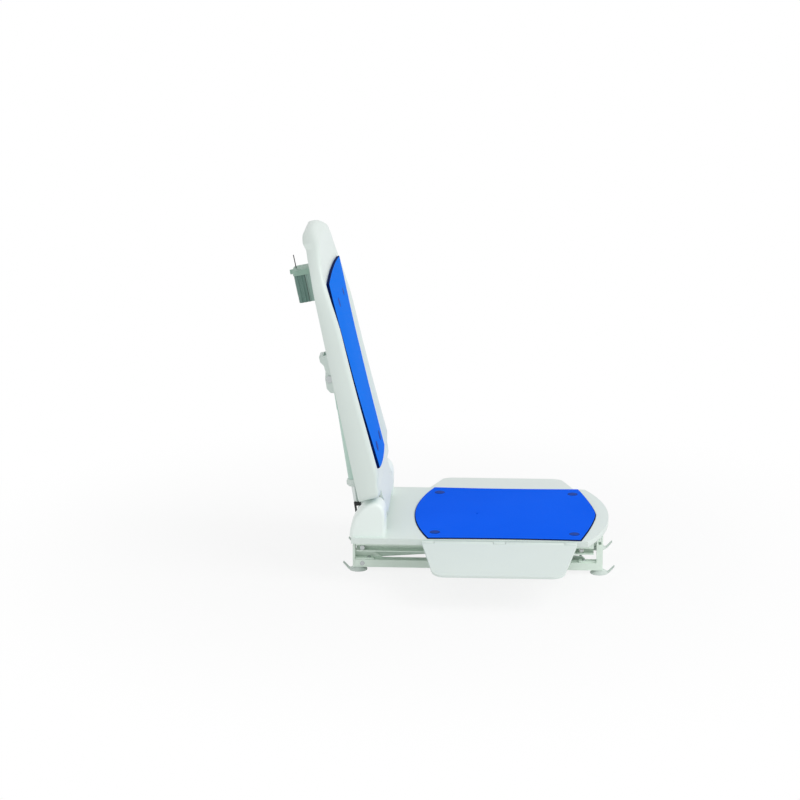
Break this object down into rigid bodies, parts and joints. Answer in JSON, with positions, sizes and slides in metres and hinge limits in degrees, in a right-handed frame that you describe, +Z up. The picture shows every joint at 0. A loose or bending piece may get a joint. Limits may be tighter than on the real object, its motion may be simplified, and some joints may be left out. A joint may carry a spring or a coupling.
{
  "type": "bath lift",
  "caption": "Reclining bath lift with a scissor base on suction cups, a padded seat with folding side flaps, and a backrest carrying the drive strut and hand control",
  "frame": {"origin": "Middle of the overall box in X and Y, on the bath floor in Z.", "axes": "+X forward from the backrest to the feet, +Y to the sitter's left, +Z up. Stored lowered with the backrest upright."},
  "size_m": [0.6833, 0.694, 0.7216],
  "materials": {
    "frame_white": "aluminium, white powder coat",
    "arm_grey": "satin grey paint",
    "steel": "plain steel",
    "rod_aluminium": "anodised",
    "cup_rubber": "soft pale grey rubber",
    "roller_nylon": "natural nylon",
    "white_plastic": "satin white moulding",
    "cover_blue": "thin foamed cover, matt",
    "stud_blue": "matt",
    "tube_grey": "satin grey paint",
    "dark_plastic": "black, matt",
    "handset_grey": "fine texture",
    "handset_cap": "fine texture"
  },
  "bodies": {
    "base": {"base_rail_left": "frame_white", "base_rail_right": "frame_white", "pivot_bracket_left": "frame_white", "pivot_bracket_right": "frame_white", "base_rear_end": "frame_white", "base_front_end": "frame_white", "suction_cup_rear_left": "cup_rubber", "suction_cup_rear_right": "cup_rubber", "suction_cup_front_left": "cup_rubber", "suction_cup_front_right": "cup_rubber", "base_shaft": "steel", "base_rivets": "steel"},
    "arm_a": {"arm_a_left": "arm_grey", "arm_a_right": "arm_grey", "arm_a_tube": "arm_grey", "upper_axle": "steel"},
    "arm_b": {"arm_b_left": "arm_grey", "arm_b_right": "arm_grey", "arm_b_tube": "arm_grey", "lower_axle": "steel", "centre_shaft": "steel"},
    "roller_upper_left": {"upper_roller_left": "roller_nylon"},
    "roller_upper_right": {"upper_roller_right": "roller_nylon"},
    "roller_lower_left": {"lower_roller_left": "roller_nylon"},
    "roller_lower_right": {"lower_roller_right": "roller_nylon"},
    "seat": {"seat_plate": "white_plastic", "seat_rail_left": "frame_white", "seat_rail_right": "frame_white", "seat_pivot_pins": "steel", "seat_screws": "steel", "hinge_ear_left": "white_plastic", "hinge_ear_right": "white_plastic", "recline_pins": "steel", "seat_cover": "cover_blue", "seat_cover_studs": "stud_blue", "flap_pins": "steel"},
    "flap_l": {"flap_left": "white_plastic"},
    "flap_r": {"flap_right": "white_plastic"},
    "backrest": {"back_shell": "white_plastic", "rear_cover_left": "white_plastic", "rear_cover_right": "white_plastic", "back_cover": "cover_blue", "back_cover_studs": "stud_blue", "actuator_bracket": "white_plastic", "back_screws": "steel", "handset_holder": "white_plastic"},
    "cradle": {"strut_cradle": "tube_grey"},
    "strut": {"actuator_tube": "tube_grey", "end_collar": "white_plastic", "gearbox": "tube_grey", "motor": "steel"},
    "rod": {"push_rod": "rod_aluminium"},
    "spindle": {"drive_spindle": "steel"},
    "fork": {"drive_fork": "dark_plastic"},
    "handset": {"handset_case": "handset_grey", "handset_cap": "handset_cap", "handset_battery": "dark_plastic", "hanger_wire": "dark_plastic"},
    "rocker": {"rocker_button": "handset_cap"}
  },
  "joints": [
    {"name": "lift", "type": "hinge", "parent": "base", "child": "arm_a", "pos_m": [-0.184, 0, 0.016], "axis": [0, -1, 0], "range_deg": [0, 52]},
    {"name": "scissor_cross", "type": "hinge", "parent": "arm_a", "child": "arm_b", "pos_m": [0.04537, 0, 0.033], "axis": [0, -1, 0], "range_deg": [-105, 0.5]},
    {"name": "seat_pivot", "type": "hinge", "parent": "arm_b", "child": "seat", "pos_m": [-0.184, 0, 0.05], "axis": [0, -1, 0], "range_deg": [-0.5, 53]},
    {"name": "upper_roller_left_spin", "type": "hinge", "parent": "arm_a", "child": "roller_upper_left", "pos_m": [0.27474, 0.083, 0.05], "axis": [0, 1, 0], "continuous": true},
    {"name": "upper_roller_right_spin", "type": "hinge", "parent": "arm_a", "child": "roller_upper_right", "pos_m": [0.27474, -0.083, 0.05], "axis": [0, 1, 0], "continuous": true},
    {"name": "lower_roller_left_spin", "type": "hinge", "parent": "arm_b", "child": "roller_lower_left", "pos_m": [0.27474, 0.083, 0.016], "axis": [0, 1, 0], "continuous": true},
    {"name": "lower_roller_right_spin", "type": "hinge", "parent": "arm_b", "child": "roller_lower_right", "pos_m": [0.27474, -0.083, 0.016], "axis": [0, 1, 0], "continuous": true},
    {"name": "flap_left_fold", "type": "hinge", "parent": "seat", "child": "flap_l", "pos_m": [0.104, 0.193, 0.094], "axis": [1, 0, 0], "range_deg": [0, 98]},
    {"name": "flap_right_fold", "type": "hinge", "parent": "seat", "child": "flap_r", "pos_m": [0.104, -0.193, 0.094], "axis": [-1, 0, 0], "range_deg": [0, 98]},
    {"name": "recline", "type": "hinge", "parent": "seat", "child": "backrest", "pos_m": [-0.146, 0, 0.134], "axis": [0, -1, 0], "range_deg": [0, 27]},
    {"name": "strut_swing_recline", "type": "hinge", "parent": "backrest", "child": "cradle", "pos_m": [-0.241, 0, 0.392], "axis": [0, -1, 0], "range_deg": [-7.6, 0.2]},
    {"name": "strut_swing_lift", "type": "hinge", "parent": "cradle", "child": "strut", "pos_m": [-0.241, 0, 0.392], "axis": [0, -1, 0], "range_deg": [-4.4, 0.2]},
    {"name": "rod_slide", "type": "slide", "parent": "strut", "child": "rod", "axis": [-0.1499, 0, 0.9887], "range_m": [-0.001, 0.036]},
    {"name": "spindle_slide", "type": "slide", "parent": "rod", "child": "spindle", "axis": [0.1499, 0, -0.9887], "range_m": [-0.001, 0.156]},
    {"name": "fork_slide", "type": "slide", "parent": "spindle", "child": "fork", "axis": [0.1499, 0, -0.9887], "range_m": [-0.0002, 0.194]},
    {"name": "handset_lift_off", "type": "slide", "parent": "backrest", "child": "handset", "axis": [-0.2006, 0, 0.9797], "range_m": [0, 0.046]},
    {"name": "rocker_press", "type": "hinge", "parent": "handset", "child": "rocker", "pos_m": [-0.32013, 0, 0.58636], "axis": [0, 1, 0], "range_deg": [-5, 5], "stiffness_Nm_per_rad": 0.2}
  ],
  "couplings": [
    {"joint": "scissor_cross", "follows": "lift", "ratio": -2},
    {"joint": "seat_pivot", "follows": "lift", "ratio": 1},
    {"joint": "strut_swing_lift", "follows": "lift", "ratio": -0.07925},
    {"joint": "spindle_slide", "follows": "lift", "m_per_rad": 0.17},
    {"joint": "fork_slide", "follows": "lift", "m_per_rad": 0.21165},
    {"joint": "strut_swing_recline", "follows": "recline", "ratio": -0.2728},
    {"joint": "rod_slide", "follows": "recline", "m_per_rad": 0.07284}
  ]
}
